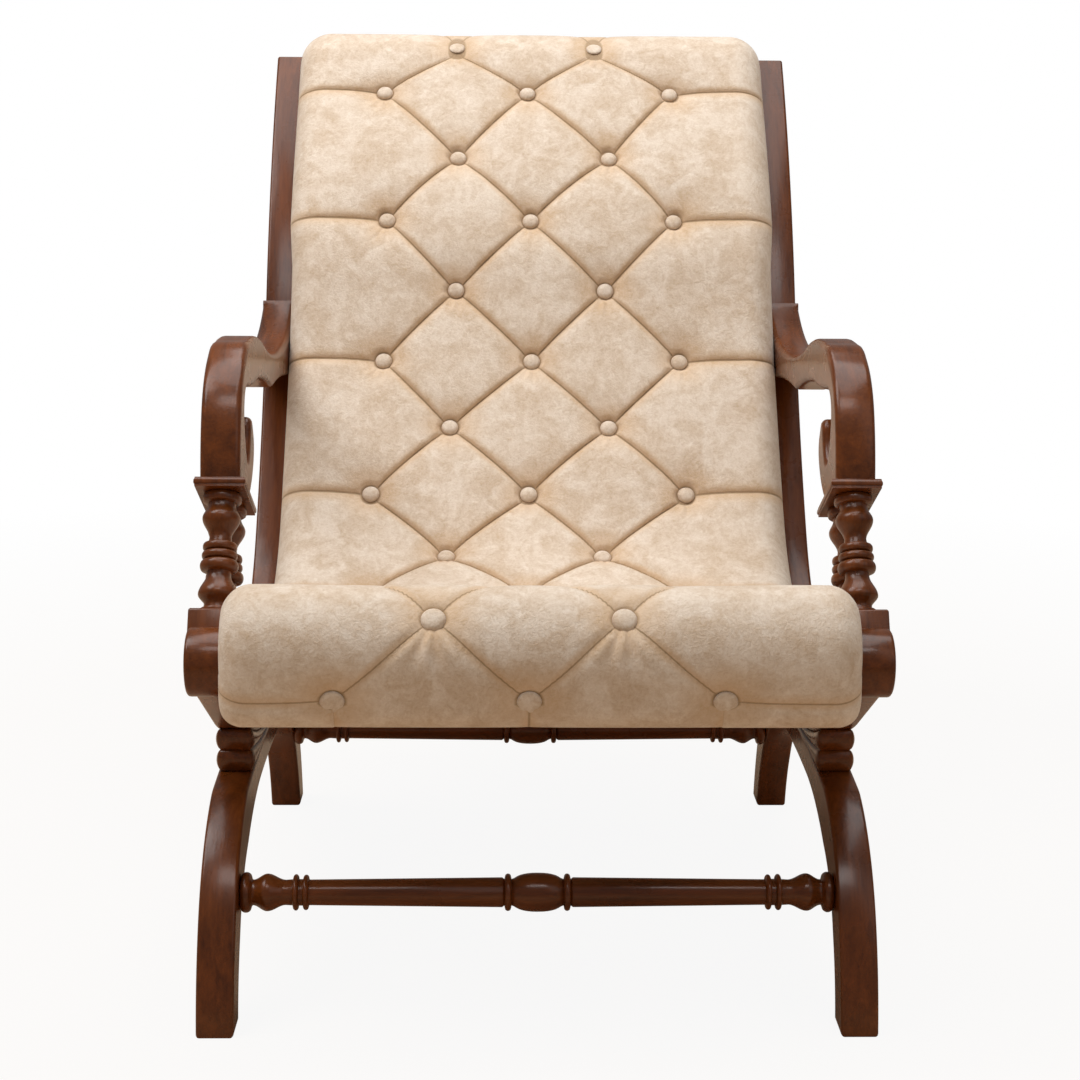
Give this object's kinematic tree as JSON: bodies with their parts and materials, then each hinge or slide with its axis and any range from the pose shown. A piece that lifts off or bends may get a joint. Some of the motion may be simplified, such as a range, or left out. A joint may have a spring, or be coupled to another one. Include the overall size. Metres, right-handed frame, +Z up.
{
  "type": "easy chair",
  "caption": "Low easy chair with a tufted pad slung between two scrolled side frames, turned arm posts and turned stretchers.",
  "frame": {"origin": "middle of the bounding box, on the floor", "axes": "the chair faces -Y, +X is to the sitter's left, +Z is up"},
  "size_m": [0.6434, 0.9426, 0.9234],
  "materials": {
    "wood": "brown teak under a satin lacquer",
    "fabric": "cream crushed velvet",
    "webbing": "plain jute webbing"
  },
  "bodies": {
    "root": {"left_front_leg": "wood", "left_rear_leg": "wood", "left_waist_block": "wood", "left_seat_rail": "wood", "left_back_stile": "wood", "left_arm_plinth": "wood", "left_front_spindle": "wood", "left_rear_spindle": "wood", "left_arm_cap": "wood", "left_arm": "wood", "left_batten": "wood", "right_front_leg": "wood", "right_rear_leg": "wood", "right_waist_block": "wood", "right_seat_rail": "wood", "right_back_stile": "wood", "right_arm_plinth": "wood", "right_front_spindle": "wood", "right_rear_spindle": "wood", "right_arm_cap": "wood", "right_arm": "wood", "right_batten": "wood", "front_stretcher": "wood", "rear_stretcher": "wood", "front_rail": "wood", "seat_cross_rail": "wood", "lumbar_rail": "wood", "back_cross_rail": "wood", "crest_rail": "wood", "outside_lining": "fabric", "seat_pad": "fabric", "back_pad": "fabric", "tuft_buttons": "fabric", "webbing_straps": "webbing"}
  },
  "joints": []
}
